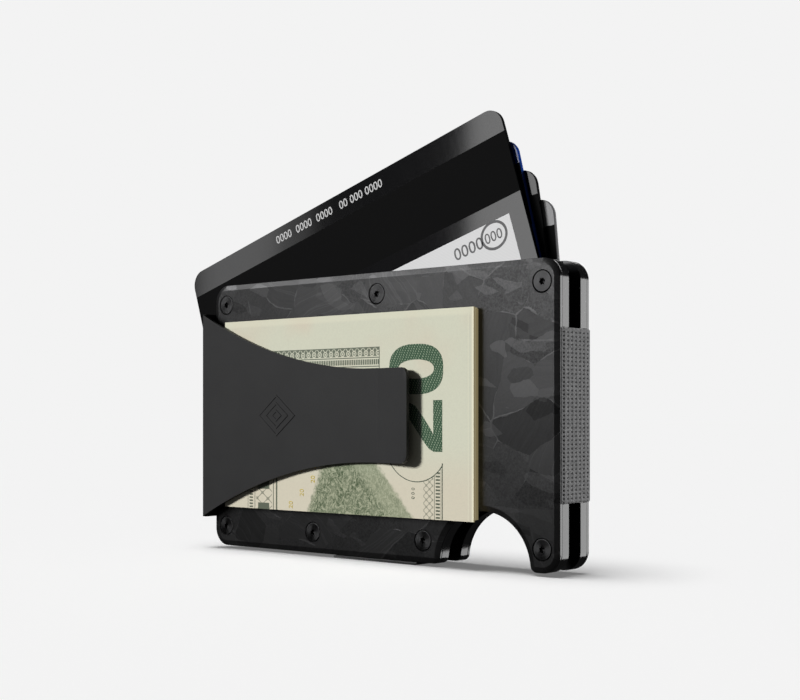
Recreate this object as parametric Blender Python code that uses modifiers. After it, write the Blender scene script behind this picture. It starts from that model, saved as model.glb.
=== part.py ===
"""Slim card wallet with a spring money clip.

Two bevelled shells, each an outer and an inner plate held by seven countersunk
screws, are pulled together by three elastic bands. Four cards stand fanned out
of the gap between the shells, and a black spring clip on the front shell holds
a folded stack of banknotes. The lower right corner has a thumb notch.

X runs along the wallet, +Y points to its back and +Z up. The sizes below are
in millimetres and each mesh is scaled to metres when it is made. Heights are
counted from the middle of the plates, and depths from a shell's outer face
towards the cards. The origin is on the underside of the bottom band.
"""

import math

import bmesh
import bpy
from mathutils import Matrix, Vector

METRE = 0.001

# Plates
PLATE_WIDTH = 86.0
PLATE_HEIGHT = 54.0
CORNER_RADIUS = 3.5
SHELL_THICKNESS = 3.0
CARD_GAP = 3.66
OUTER_PLATE = 1.0
PLATE_GAP = 0.05
CHAMFER_WIDTH = 1.03
CHAMFER_DEPTH = 0.32
HALF_DEPTH = SHELL_THICKNESS + CARD_GAP / 2

# Thumb notch in the lower edge
NOTCH_X = 26.9
NOTCH_RADIUS = 10.05
NOTCH_FOOT_RADIUS = 1.3

# Screws, as positions on a plate
SCREW_X = 39.52
SCREW_Z = 22.93
SCREW_SPOTS = [
    (-SCREW_X, SCREW_Z),
    (2.0, SCREW_Z),
    (SCREW_X, SCREW_Z),
    (-SCREW_X, -SCREW_Z),
    (-14.66, -SCREW_Z),
    (13.25, -SCREW_Z),
    (SCREW_X, -SCREW_Z),
]
HEAD_RADIUS = 1.9
HEAD_RIM = 0.08
SHANK_RADIUS = 1.0
SCREW_LENGTH = 2.7
SCREW_SIDES = 20
RECESS_RADIUS = 0.78
RECESS_LOBE = 0.1
RECESS_DEPTH = 0.5
HOLE_CLEARANCE = 0.25
HEAD_CLEARANCE = 0.3

# Elastic bands
BAND_THICKNESS = 0.4
BAND_GAP = 0.1
BAND_FRONT = 0.4
SIDE_BAND_HALF = 15.0
SIDE_LEG = 10.0
LEG_DEPTH = 1.1
POCKET_FLOOR = 1.95
POCKET_GAP = 0.3
BOTTOM_BAND_X = (-9.4, 11.4)
BOTTOM_BAND_THICKNESS = 0.5
BOTTOM_LEG = 5.0
CARD_TO_BAND = 0.2

# Spring clip
CLIP_THICKNESS = 0.7
CLIP_WALL_X = -43.55
CLIP_FRONT_DEPTH = -2.3
CLIP_CREASE = (4.3, -2.05)
CLIP_TIP = (12.4, -3.25)
CLIP_TIP_RADIUS = 1.7
CLIP_BEND = 0.7
CLIP_SPLIT = 0.3
TONGUE_HALF = 8.8
TONGUE_FLARE = 0.00556
TONGUE_STRAIGHT_X = 3.0
EAR_DEPTH = 1.5
EAR_BEND = 0.8
EAR_END_X = -36.0
EAR_HALF = (15.5, 25.5)

# Cards: lean in degrees, then the middle's X and height
CARD_WIDTH = 85.6
CARD_HEIGHT = 53.98
CARD_THICKNESS = 0.76
CARD_RADIUS = 3.18
CARD_FREE = (CARD_GAP - 4 * CARD_THICKNESS) / 5
CARD_POSES = [
    (17.1, -5.05, 16.96),
    (13.7, -4.3, 13.2),
    (9.6, -3.25, 10.15),
    (5.5, -2.26, 7.33),
]

# Folded banknotes under the clip
NOTES_X = (-38.2, 26.3)
NOTES_Z = (-18.8, 19.2)
NOTES_DEPTH = (-1.6, -0.05)
NOTES_FOLD_RADIUS = 0.6

PLATE_MIDDLE_HEIGHT = PLATE_HEIGHT / 2 + BAND_GAP + BOTTOM_BAND_THICKNESS
FRONT = -1
REAR = 1


def clear_scene():
    for obj in list(bpy.data.objects):
        bpy.data.objects.remove(obj, do_unlink=True)


def new_collection(name):
    collection = bpy.data.collections.new(name)
    bpy.context.scene.collection.children.link(collection)
    return collection


def material(name, colour, roughness, metallic=0.0):
    made = bpy.data.materials.new(name)
    made.use_nodes = True
    shader = made.node_tree.nodes["Principled BSDF"]
    shader.inputs["Base Color"].default_value = (*colour, 1.0)
    shader.inputs["Roughness"].default_value = roughness
    shader.inputs["Metallic"].default_value = metallic
    return made


def from_depth(depth, side):
    """The Y of a depth below the outer face of the front or the rear shell."""
    return side * (HALF_DEPTH - depth)


def empty(name, location, parent=None):
    made = bpy.data.objects.new(name, None)
    made.empty_display_size = 0.01
    made.location = Vector(location) * METRE
    made.parent = parent
    PARTS.objects.link(made)
    return made


def finish_mesh(bm, name):
    """Close a bmesh made in millimetres as a mesh in metres, faces out."""
    bmesh.ops.recalc_face_normals(bm, faces=bm.faces)
    bmesh.ops.scale(bm, vec=(METRE, METRE, METRE), verts=bm.verts)
    mesh = bpy.data.meshes.new(name)
    bm.to_mesh(mesh)
    bm.free()
    return mesh


def add_part(name, mesh, finish, parent):
    made = bpy.data.objects.new(name, mesh)
    if not mesh.materials:
        mesh.materials.append(finish)
    made.parent = parent
    PARTS.objects.link(made)
    mesh.shade_smooth()
    mesh.set_sharp_from_angle(angle=math.radians(30))
    return made


def add_cutter(name, mesh):
    made = bpy.data.objects.new(name, mesh)
    made.parent = WALLET
    made.hide_render = True
    made.display_type = "WIRE"
    CUTTERS.objects.link(made)
    return made


def cut(target, cutter):
    """Subtract a cutter. Both hang on empties that share the wallet's frame."""
    boolean = target.modifiers.new(cutter.name, "BOOLEAN")
    boolean.operation = "DIFFERENCE"
    boolean.solver = "EXACT"
    boolean.object = cutter


def arc(x, z, radius, start, end, steps):
    """Points on an arc about (x, z), with angles in degrees."""
    angles = [math.radians(start + (end - start) * i / steps) for i in range(steps + 1)]
    return [(x + radius * math.cos(a), z + radius * math.sin(a)) for a in angles]


def rounded_rectangle(half_x, half_z, radius, steps):
    corners = [(1, 1, 0), (-1, 1, 90), (-1, -1, 180), (1, -1, 270)]
    points = []
    for sign_x, sign_z, start in corners:
        x = sign_x * (half_x - radius)
        z = sign_z * (half_z - radius)
        points += arc(x, z, radius, start, start + 90, steps)
    return points


def plate_outline():
    """A rounded rectangle with the thumb notch let into its lower edge."""
    points = rounded_rectangle(PLATE_WIDTH / 2, PLATE_HEIGHT / 2, CORNER_RADIUS, 6)
    corner_points = 7
    bottom = -PLATE_HEIGHT / 2
    foot = NOTCH_FOOT_RADIUS
    reach = math.sqrt((NOTCH_RADIUS + foot) ** 2 - foot**2)
    lean = math.degrees(math.asin(foot / (NOTCH_RADIUS + foot)))
    notch = arc(NOTCH_X - reach, bottom + foot, foot, -90, -lean, 3)
    notch += arc(NOTCH_X, bottom, NOTCH_RADIUS, 180 - lean, lean, 18)[1:-1]
    notch += arc(NOTCH_X + reach, bottom + foot, foot, 180 + lean, 270, 3)
    return points[: 3 * corner_points] + notch + points[3 * corner_points :]


def slab(outline, y_outer, y_inner, chamfer=(0, 0)):
    """An outline in X and Z, extruded along Y, with a chamfer on its outer face."""
    width, depth = chamfer
    rise = math.copysign(depth, y_outer - y_inner)
    bm = bmesh.new()
    outer = bm.faces.new([bm.verts.new((x, y_outer - rise, z)) for x, z in outline])
    result = bmesh.ops.extrude_face_region(bm, geom=[outer], use_keep_orig=True)
    moved = [v for v in result["geom"] if isinstance(v, bmesh.types.BMVert)]
    bmesh.ops.translate(bm, vec=(0, y_inner - y_outer + rise, 0), verts=moved)
    bmesh.ops.recalc_face_normals(bm, faces=bm.faces)
    if width:
        bmesh.ops.inset_region(bm, faces=[outer], thickness=width, use_even_offset=True)
        bmesh.ops.translate(bm, vec=(0, rise, 0), verts=outer.verts)
    return bm


def box(bm, low, high):
    """Add a box between two corners to a bmesh."""
    middle = [(a + b) / 2 for a, b in zip(low, high)]
    size = [b - a for a, b in zip(low, high)]
    place = Matrix.Translation(middle) @ Matrix.Diagonal((*size, 1))
    bmesh.ops.create_cube(bm, size=1, matrix=place)


def hole_cutter(name, spots, side, start, end):
    """Cones at the spots, each from one (depth, radius) to another."""
    bm = bmesh.new()
    y_start = from_depth(start[0], side)
    y_end = from_depth(end[0], side)
    turn = Matrix.Rotation(math.radians(-90), 4, "X")
    first, last = (start, end) if y_start < y_end else (end, start)
    for x, z in spots:
        bmesh.ops.create_cone(
            bm,
            cap_ends=True,
            segments=SCREW_SIDES,
            radius1=first[1],
            radius2=last[1],
            depth=abs(y_end - y_start),
            matrix=Matrix.Translation((x, (y_start + y_end) / 2, z)) @ turn,
        )
    return add_cutter(name, finish_mesh(bm, name))


def sheet(name, grid, thickness, finish, parent, keep=lambda column, row: True):
    """A bent sheet: the middle surface through a grid of points, thickened."""
    bm = bmesh.new()
    verts = [[bm.verts.new(point) for point in column] for column in grid]
    for i in range(len(grid) - 1):
        for j in range(len(grid[0]) - 1):
            if keep(i, j):
                corners = (verts[i][j], verts[i + 1][j], verts[i + 1][j + 1], verts[i][j + 1])
                bm.faces.new(corners)
    loose = [v for v in bm.verts if not v.link_faces]
    bmesh.ops.delete(bm, geom=loose, context="VERTS")
    made = add_part(name, finish_mesh(bm, name), finish, parent)
    solidify = made.modifiers.new("thickness", "SOLIDIFY")
    solidify.thickness = thickness * METRE
    solidify.offset = 0
    solidify.use_even_offset = True
    return made


def pocket_cutter(name, side):
    """Pockets in an inner plate for the legs of the three bands."""
    bm = bmesh.new()
    y_low, y_high = pocket_depths(side)
    past = PLATE_WIDTH / 2 + 1
    inside = PLATE_WIDTH / 2 - SIDE_LEG - POCKET_GAP
    half = SIDE_BAND_HALF + POCKET_GAP
    box(bm, (inside, y_low, -half), (past, y_high, half))
    box(bm, (-past, y_low, -half), (-inside, y_high, half))
    low_x, high_x = BOTTOM_BAND_X
    bottom = -PLATE_HEIGHT / 2
    low = (low_x - POCKET_GAP, y_low, bottom - 1)
    high = (high_x + POCKET_GAP, y_high, bottom + BOTTOM_LEG + POCKET_GAP)
    box(bm, low, high)
    return add_cutter(name, finish_mesh(bm, name))


def ear_pocket():
    """The pocket in the front inner plate that takes the clip's two ears."""
    bm = bmesh.new()
    y_low, y_high = pocket_depths(FRONT)
    half = EAR_HALF[1] + POCKET_GAP
    box(bm, (-PLATE_WIDTH / 2 - 1, y_low, -half), (EAR_END_X + POCKET_GAP, y_high, half))
    return add_cutter("ear_pocket", finish_mesh(bm, "ear_pocket"))


def pocket_depths(side):
    start = from_depth(OUTER_PLATE - PLATE_GAP, side)
    floor = from_depth(POCKET_FLOOR, side)
    return min(start, floor), max(start, floor)


def shell(side_name, side, parent, outer_finish, inner_finish):
    """The outer and the inner plate of one shell, with their holes and pockets."""
    outline = plate_outline()
    chamfer = (CHAMFER_WIDTH, CHAMFER_DEPTH)
    outer_mesh = slab(outline, from_depth(0, side), from_depth(OUTER_PLATE, side), chamfer)
    inner_start = OUTER_PLATE + PLATE_GAP
    inner_mesh = slab(outline, from_depth(inner_start, side), from_depth(SHELL_THICKNESS, side))
    outer_name = side_name + "_outer_plate"
    inner_name = side_name + "_inner_plate"
    outer = add_part(outer_name, finish_mesh(outer_mesh, outer_name), outer_finish, parent)
    inner = add_part(inner_name, finish_mesh(inner_mesh, inner_name), inner_finish, parent)

    past = 0.1
    wide = HEAD_RADIUS + HEAD_CLEARANCE
    sinks = hole_cutter(
        side_name + "_countersinks",
        SCREW_SPOTS,
        side,
        (-past, wide + past),
        (OUTER_PLATE + past, wide - OUTER_PLATE - past),
    )
    bore = SHANK_RADIUS + HOLE_CLEARANCE
    holes = hole_cutter(
        side_name + "_screw_holes",
        SCREW_SPOTS,
        side,
        (OUTER_PLATE - past, bore),
        (SHELL_THICKNESS + past, bore),
    )
    cut(outer, sinks)
    cut(inner, pocket_cutter(side_name + "_pockets", side))
    cut(inner, holes)
    return outer, inner


def clip_relief():
    """A rebate in the front outer plate's left edge, where the clip bends round it."""
    bm = bmesh.new()
    half = clip_half_height(CLIP_WALL_X) + POCKET_GAP
    low_y = from_depth(0.55, FRONT)
    high_y = from_depth(OUTER_PLATE + 0.2, FRONT)
    box(bm, (-PLATE_WIDTH / 2 - 1, low_y, -half), (-PLATE_WIDTH / 2 + 0.3, high_y, half))
    return add_cutter("clip_relief", finish_mesh(bm, "clip_relief"))


def screw_mesh():
    """A countersunk screw along Z, its head at the top, with a six-lobe recess."""
    slope = HEAD_RADIUS - SHANK_RADIUS
    profile = [
        (0, 0),
        (HEAD_RADIUS, 0),
        (HEAD_RADIUS, -HEAD_RIM),
        (SHANK_RADIUS, -HEAD_RIM - slope),
        (SHANK_RADIUS, -SCREW_LENGTH),
        (0, -SCREW_LENGTH),
    ]
    mesh = bpy.data.meshes.new("screw_profile")
    points = [(r * METRE, 0, z * METRE) for r, z in profile]
    edges = [(i, i + 1) for i in range(len(points) - 1)]
    mesh.from_pydata(points, edges, [])
    turned = bpy.data.objects.new("screw_turned", mesh)
    CUTTERS.objects.link(turned)
    turning = turned.modifiers.new("turn", "SCREW")
    turning.steps = SCREW_SIDES
    turning.render_steps = SCREW_SIDES
    turning.use_merge_vertices = True
    turning.merge_threshold = 0.00001

    bm = bmesh.new()
    outline = []
    for i in range(24):
        angle = math.tau * i / 24
        radius = RECESS_RADIUS + RECESS_LOBE * math.cos(6 * angle)
        outline.append((radius * math.cos(angle), radius * math.sin(angle)))
    face = bm.faces.new([bm.verts.new((x, y, RECESS_DEPTH)) for x, y in outline])
    result = bmesh.ops.extrude_face_region(bm, geom=[face], use_keep_orig=True)
    moved = [v for v in result["geom"] if isinstance(v, bmesh.types.BMVert)]
    bmesh.ops.translate(bm, vec=(0, 0, -2 * RECESS_DEPTH), verts=moved)
    recess = bpy.data.objects.new("screw_recess", finish_mesh(bm, "screw_recess"))
    CUTTERS.objects.link(recess)
    cut(turned, recess)

    depsgraph = bpy.context.evaluated_depsgraph_get()
    made = bpy.data.meshes.new_from_object(turned.evaluated_get(depsgraph))
    made.name = "screw"
    bpy.data.objects.remove(turned)
    bpy.data.objects.remove(recess)
    return made


def add_screws(side_name, side, parent, mesh, finish):
    for number, (x, z) in enumerate(SCREW_SPOTS, start=1):
        made = add_part(f"{side_name}_screw_{number}", mesh, finish, parent)
        made.location = Vector((x, from_depth(0, side), z)) * METRE
        made.rotation_euler = (math.radians(-90 * side), 0, 0)


def band_profile(edge, thickness, leg):
    """A band's section: its web across both shells and a leg in each of them.

    Each point is (distance out from the wallet's middle, Y).
    """
    inner = edge + BAND_GAP
    outer = inner + thickness
    web = HALF_DEPTH - BAND_FRONT
    leg_outer = HALF_DEPTH - LEG_DEPTH
    leg_inner = leg_outer - BAND_THICKNESS
    leg_end = edge - leg
    half = [
        (outer, web),
        (inner, web),
        (inner, leg_outer),
        (leg_end, leg_outer),
        (leg_end, leg_inner),
        (inner, leg_inner),
    ]
    return half + [(out, -y) for out, y in reversed(half)]


def extruded_band(name, points, start, end, finish, parent):
    """Extrude a band's section, given as points in space, by a vector."""
    bm = bmesh.new()
    face = bm.faces.new([bm.verts.new(point) for point in points])
    result = bmesh.ops.extrude_face_region(bm, geom=[face], use_keep_orig=True)
    moved = [v for v in result["geom"] if isinstance(v, bmesh.types.BMVert)]
    bmesh.ops.translate(bm, vec=Vector(end) - Vector(start), verts=moved)
    return add_part(name, finish_mesh(bm, name), finish, parent)


def right_band(finish, parent):
    section = band_profile(PLATE_WIDTH / 2, BAND_THICKNESS, SIDE_LEG)
    half = SIDE_BAND_HALF
    points = [(out, y, -half) for out, y in section]
    return extruded_band("right_elastic", points, (0, 0, -half), (0, 0, half), finish, parent)


def bottom_band(finish, parent):
    section = band_profile(PLATE_HEIGHT / 2, BOTTOM_BAND_THICKNESS, BOTTOM_LEG)
    low, high = BOTTOM_BAND_X
    points = [(low, y, -out) for out, y in section]
    return extruded_band("bottom_elastic", points, (low, 0, 0), (high, 0, 0), finish, parent)


def stretched_reach(z):
    """How far left the stretched band's middle lies at a height."""
    reach = PLATE_WIDTH / 2 + BAND_GAP + BAND_THICKNESS / 2
    for lean, x, middle in CARD_POSES:
        tilt = math.radians(lean)
        edge_x = x - CARD_WIDTH / 2 * math.cos(tilt)
        edge_z = middle - CARD_WIDTH / 2 * math.sin(tilt)
        left = -(edge_x - (z - edge_z) * math.tan(tilt))
        reach = max(reach, left + CARD_TO_BAND + BAND_THICKNESS / 2)
    return reach


def left_band(finish, parent):
    """The band that the leaning cards push outwards, flat against their edges."""
    leg = HALF_DEPTH - LEG_DEPTH - BAND_THICKNESS / 2
    side = PLATE_WIDTH / 2 + BAND_GAP + BAND_THICKNESS / 2
    turn = CARD_GAP / 2 + CARD_TO_BAND
    sections = []
    for i in range(9):
        z = SIDE_BAND_HALF * (i / 4 - 1)
        half = [(PLATE_WIDTH / 2 - SIDE_LEG, leg), (side, leg), (stretched_reach(z), turn)]
        section = [(-x, -y, z) for x, y in half] + [(-x, y, z) for x, y in reversed(half)]
        sections.append(section)
    return sheet("left_elastic", sections, BAND_THICKNESS, finish, parent)


def clip_half_height(x):
    """Half the clip's height at X: a straight tongue that widens to the left."""
    return TONGUE_HALF + TONGUE_FLARE * min(x - TONGUE_STRAIGHT_X, 0) ** 2


def clip_base(finish, parent):
    """The clip's wall round the left edge, with two screwed ears between the plates."""
    inner_x = CLIP_WALL_X + EAR_BEND
    path = [(EAR_END_X, EAR_DEPTH), (inner_x + 1.3, EAR_DEPTH)]
    path += arc(inner_x, EAR_DEPTH - EAR_BEND, EAR_BEND, 90, 180, 2)
    wall_start = len(path) - 1
    front_x = CLIP_WALL_X + CLIP_BEND
    path += arc(front_x, CLIP_FRONT_DEPTH + CLIP_BEND, CLIP_BEND, 180, 270, 3)
    grid = []
    for x, depth in path:
        top = clip_half_height(x) if x < inner_x else clip_half_height(CLIP_WALL_X)
        heights = [-EAR_HALF[1], -top, -EAR_HALF[0], EAR_HALF[0], top, EAR_HALF[1]]
        grid.append([(x, from_depth(depth, FRONT), z) for z in heights])

    def keep(column, row):
        above_wall = row in (0, 4)
        middle = row == 2
        if above_wall:
            return column == 0
        if middle:
            return column >= wall_start
        return True

    made = sheet("clip_base", grid, CLIP_THICKNESS, finish, parent, keep)
    bore = SHANK_RADIUS + HOLE_CLEARANCE
    spots = [(-SCREW_X, SCREW_Z), (-SCREW_X, -SCREW_Z)]
    start = (EAR_DEPTH - CLIP_THICKNESS, bore)
    end = (EAR_DEPTH + CLIP_THICKNESS, bore)
    cut(made, hole_cutter("ear_holes", spots, FRONT, start, end))
    return made


def clip_tongue(finish, hinge, hinge_x):
    """The clip's front sheet, which flares away from the notes at its tip."""
    start = hinge_x + CLIP_SPLIT / 2
    steps = 9
    stations = [start + (CLIP_CREASE[0] - start) * i / steps for i in range(steps + 1)]
    halves = [clip_half_height(x) for x in stations]
    tip_x, tip_depth = CLIP_TIP
    for step in range(5):
        angle = math.radians(22.5 * step)
        stations.append(tip_x - CLIP_TIP_RADIUS * (1 - math.sin(angle)))
        halves.append(TONGUE_HALF - CLIP_TIP_RADIUS * (1 - math.cos(angle)))
    crease_x, crease_depth = CLIP_CREASE
    grid = []
    for x, half in zip(stations, halves):
        if x < crease_x:
            share = (x - start) / (crease_x - start)
            depth = CLIP_FRONT_DEPTH + (crease_depth - CLIP_FRONT_DEPTH) * share
        else:
            share = (x - crease_x) / (tip_x - crease_x)
            depth = crease_depth + (tip_depth - crease_depth) * share
        y = from_depth(depth, FRONT) - from_depth(CLIP_FRONT_DEPTH, FRONT)
        grid.append([(x - hinge_x, y, half * row / 2) for row in range(-2, 3)])
    return sheet("clip_tongue", grid, CLIP_THICKNESS, finish, hinge)


def add_cards(finishes):
    for number, (lean, x, z) in enumerate(CARD_POSES, start=1):
        y = -CARD_GAP / 2 + CARD_FREE * number + CARD_THICKNESS * (number - 0.5)
        slide = empty(f"card_{number}_slide", (x, y, z), WALLET)
        slide.rotation_euler = (0, -math.radians(lean), 0)
        outline = rounded_rectangle(CARD_WIDTH / 2, CARD_HEIGHT / 2, CARD_RADIUS, 5)
        bm = slab(outline, -CARD_THICKNESS / 2, CARD_THICKNESS / 2)
        name = f"card_{number}"
        add_part(name, finish_mesh(bm, name), finishes[number - 1], slide)


def add_notes(finish):
    """The folded stack: its right edge is the rounded fold."""
    slide = empty("banknote_slide", (0, 0, 0), WALLET)
    low, high = (from_depth(depth, FRONT) for depth in NOTES_DEPTH)
    right = NOTES_X[1] - NOTES_FOLD_RADIUS
    section = [(NOTES_X[0], low)]
    section += arc(right, low + NOTES_FOLD_RADIUS, NOTES_FOLD_RADIUS, -90, 0, 3)
    section += arc(right, high - NOTES_FOLD_RADIUS, NOTES_FOLD_RADIUS, 0, 90, 3)
    section.append((NOTES_X[0], high))
    points = [(x, y, NOTES_Z[0]) for x, y in section]
    start = (0, 0, NOTES_Z[0])
    end = (0, 0, NOTES_Z[1])
    extruded_band("banknotes", points, start, end, finish, slide)


clear_scene()
PARTS = new_collection("card_wallet")
CUTTERS = new_collection("cutters")
WALLET = empty("wallet", (0, 0, PLATE_MIDDLE_HEIGHT))

carbon = material("carbon", (0.03, 0.03, 0.032), 0.45)
frame_metal = material("frame_metal", (0.28, 0.28, 0.29), 0.4, 0.8)
screw_steel = material("screw_steel", (0.05, 0.05, 0.05), 0.35, 0.9)
elastic = material("elastic", (0.1, 0.1, 0.1), 0.9)
clip_coat = material("clip_coat", (0.035, 0.035, 0.035), 0.5)
paper = material("paper", (0.6, 0.6, 0.48), 0.8)
card_finishes = [
    material("card_black", (0.015, 0.015, 0.015), 0.15),
    material("card_blue", (0.02, 0.06, 0.25), 0.2),
    material("card_dark", (0.02, 0.02, 0.02), 0.2),
    material("card_silver", (0.3, 0.3, 0.3), 0.3),
]

rear_slide = empty("rear_slide", (0, 0, 0), WALLET)
screw = screw_mesh()
front_outer, front_inner = shell("front", FRONT, WALLET, carbon, frame_metal)
cut(front_outer, clip_relief())
cut(front_inner, ear_pocket())
shell("rear", REAR, rear_slide, carbon, frame_metal)
add_screws("front", FRONT, WALLET, screw, screw_steel)
add_screws("rear", REAR, rear_slide, screw, screw_steel)

right_band(elastic, WALLET)
bottom_band(elastic, WALLET)
left_band(elastic, WALLET)

clip_base(clip_coat, WALLET)
hinge_x = CLIP_WALL_X + CLIP_BEND + CLIP_SPLIT / 2
clip_hinge = empty("clip_hinge", (hinge_x, from_depth(CLIP_FRONT_DEPTH, FRONT), 0), WALLET)
clip_tongue(clip_coat, clip_hinge, hinge_x)

add_cards(card_finishes)
add_notes(paper)
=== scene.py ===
"""The looks of the card wallet with its money clip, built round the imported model.

Sizes are in millimetres and meshes are scaled to metres when they are made.
Depths run from a shell's outer face towards the cards, as in the design, and
heights are counted from the middle of the plates unless a line says otherwise.
The camera and the lamps are placed in metres.
"""

import math
import random

import bmesh
import bpy
from mathutils import Matrix, Vector, noise

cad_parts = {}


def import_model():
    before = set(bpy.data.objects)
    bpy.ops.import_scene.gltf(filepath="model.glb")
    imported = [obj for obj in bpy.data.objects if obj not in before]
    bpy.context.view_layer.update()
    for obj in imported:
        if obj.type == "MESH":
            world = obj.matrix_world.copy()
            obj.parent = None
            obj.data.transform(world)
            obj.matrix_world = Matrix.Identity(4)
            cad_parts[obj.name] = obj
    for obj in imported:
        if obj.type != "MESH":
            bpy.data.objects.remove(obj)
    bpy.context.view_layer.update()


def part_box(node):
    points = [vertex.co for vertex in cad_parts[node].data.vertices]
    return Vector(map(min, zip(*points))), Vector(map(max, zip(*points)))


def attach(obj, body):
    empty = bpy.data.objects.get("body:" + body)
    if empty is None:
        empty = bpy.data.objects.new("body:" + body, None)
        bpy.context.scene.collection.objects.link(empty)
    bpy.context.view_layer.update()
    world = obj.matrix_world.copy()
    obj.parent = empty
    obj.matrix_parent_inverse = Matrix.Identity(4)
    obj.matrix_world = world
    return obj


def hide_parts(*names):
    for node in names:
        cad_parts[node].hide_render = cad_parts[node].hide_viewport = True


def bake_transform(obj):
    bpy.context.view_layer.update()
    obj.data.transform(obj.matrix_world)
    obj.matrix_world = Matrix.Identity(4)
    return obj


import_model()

METRE = 0.001
FRONT = -1
REAR = 1


def cad_box(node):
    """A CAD node's lowest and highest corners in millimetres."""
    low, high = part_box(node)
    return [v / METRE for v in low], [v / METRE for v in high]


PLATE_LOW, PLATE_HIGH = cad_box("front_outer_plate")
HALF_WIDTH = (PLATE_HIGH[0] - PLATE_LOW[0]) / 2
HALF_HEIGHT = (PLATE_HIGH[2] - PLATE_LOW[2]) / 2
CENTRE_Z = (PLATE_HIGH[2] + PLATE_LOW[2]) / 2
HALF_DEPTH = -PLATE_LOW[1]
OUTER_PLATE = PLATE_HIGH[1] - PLATE_LOW[1]
SHELL = HALF_DEPTH + cad_box("front_inner_plate")[1][1]

CORNER_RADIUS = 3.5
CHAMFER_WIDTH = 1.03
CHAMFER_DEPTH = 0.32
NOTCH_X = 26.9
NOTCH_RADIUS = 10.05
NOTCH_FOOT_RADIUS = 1.3
SCREW_X = 39.52
SCREW_Z = 22.93
SCREW_SPOTS = [
    (-SCREW_X, SCREW_Z),
    (2.0, SCREW_Z),
    (SCREW_X, SCREW_Z),
    (-SCREW_X, -SCREW_Z),
    (-14.66, -SCREW_Z),
    (13.25, -SCREW_Z),
    (SCREW_X, -SCREW_Z),
]

CARD_GAP = 2 * (HALF_DEPTH - SHELL)
SINK_RADIUS = 2.04
POCKET_FLOOR = 1.95
SCREW_BORE = 1.25

ROW_PITCH = 0.71
COLUMN_PITCH = 1.24
PIT_HALF = (0.2, 0.27)
YARN_STEP = 0.124
SIDE_BAND_HALF = 15.0
WEB_HALF = HALF_DEPTH - 0.36
LEG_Y = HALF_DEPTH - 1.3
LEG_INSET = 10
BOTTOM_BAND_X = (-9.4, 11.4)

CLIP_THICKNESS = 0.7
CLIP_WALL_X = -44.15
CLIP_FRONT_DEPTH = -2.3
CLIP_BEND = 0.7
CLIP_CREASE = (4.3, -2.05)
CLIP_TIP = (12.4, -3.25)
TONGUE_HALF = 8.8
EAR_DEPTH = 1.5
EAR_HALF = (15.5, 25.5)

NOTES_X = (-38.2, 26.3)
NOTES_Z = (-18.8, 19.2)
NOTES_DEPTH = (-1.6, -0.05)
SHEETS = [(-1.59, -1.24, 26.2), (-1.22, -0.06, 26.28), (-1.11, -0.17, 26.1), (-1.0, -0.28, 25.9)]
PRINT_HEIGHT = 0.012

CARD_WIDTH = 85.6
CARD_HEIGHT = 53.98
CARD_THICKNESS = 0.76
CARD_RADIUS = 3.18
CARD_POSES = [(17.1, -5.05, 16.96), (13.7, -4.3, 13.2), (9.6, -3.25, 10.15), (5.5, -2.26, 7.33)]
STRIPE = (10.5, 22.0)
SIGNATURE = (-30.0, 39.4, -6.0, 7.55)

AMBIENT = 0.045
BACKGROUND = 0.896
REFLECTED = 0.02
FLOOR_GLOW = 0.16
FLOOR_GREY = 0.8
FLOOR_SUN_RISE = 80
FLOOR_LIT = BACKGROUND - FLOOR_GLOW - FLOOR_GREY * AMBIENT
FLOOR_SUN = FLOOR_LIT * math.pi / FLOOR_GREY / math.sin(math.radians(FLOOR_SUN_RISE))

PAPER_GREEN = (0.67, 0.675, 0.54)
PAPER_PEACH = (0.68, 0.62, 0.49)
# Ochre painted at the notes' fold as shade and glow
PAINTED_FOLD_OCHRE = (0.62, 0.5, 0.24)
HAIR_GREEN = (0.04, 0.075, 0.03)
LINE_GREEN = (0.045, 0.07, 0.045)


# ---------------------------------------------------------------- geometry


def from_depth(depth, side=FRONT):
    """The Y of a depth below the outer face of the front or the rear shell."""
    return side * (HALF_DEPTH - depth)


def arc(x, z, radius, start, end, steps):
    """Points on an arc about (x, z), with angles in degrees."""
    angles = [math.radians(start + (end - start) * i / steps) for i in range(steps + 1)]
    return [(x + radius * math.cos(a), z + radius * math.sin(a)) for a in angles]


def rounded_rectangle(half_x, half_z, radius, steps):
    points = []
    for sign_x, sign_z, start in [(1, 1, 0), (-1, 1, 90), (-1, -1, 180), (1, -1, 270)]:
        x = sign_x * (half_x - radius)
        z = sign_z * (half_z - radius)
        points += arc(x, z, radius, start, start + 90, steps)
    return points


def plate_outline():
    """A rounded rectangle with the thumb notch let into its lower edge."""
    steps = 12
    points = rounded_rectangle(HALF_WIDTH, HALF_HEIGHT, CORNER_RADIUS, steps)
    foot = NOTCH_FOOT_RADIUS
    reach = math.sqrt((NOTCH_RADIUS + foot) ** 2 - foot**2)
    lean = math.degrees(math.asin(foot / (NOTCH_RADIUS + foot)))
    bottom = -HALF_HEIGHT
    notch = arc(NOTCH_X - reach, bottom + foot, foot, -90, -lean, 8)
    notch += arc(NOTCH_X, bottom, NOTCH_RADIUS, 180 - lean, lean, 48)[1:-1]
    notch += arc(NOTCH_X + reach, bottom + foot, foot, 180 + lean, 270, 8)
    before = 3 * (steps + 1)
    return points[:before] + notch + points[before:]


def finish_mesh(bm, name, lift=CENTRE_Z):
    """Close a bmesh made in millimetres as a mesh in metres, at its height."""
    bmesh.ops.recalc_face_normals(bm, faces=bm.faces)
    bmesh.ops.translate(bm, vec=(0, 0, lift), verts=bm.verts)
    bmesh.ops.scale(bm, vec=(METRE, METRE, METRE), verts=bm.verts)
    mesh = bpy.data.meshes.new(name)
    bm.to_mesh(mesh)
    bm.free()
    return mesh


def add(name, mesh):
    made = bpy.data.objects.new(name, mesh)
    bpy.context.scene.collection.objects.link(made)
    return made


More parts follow.
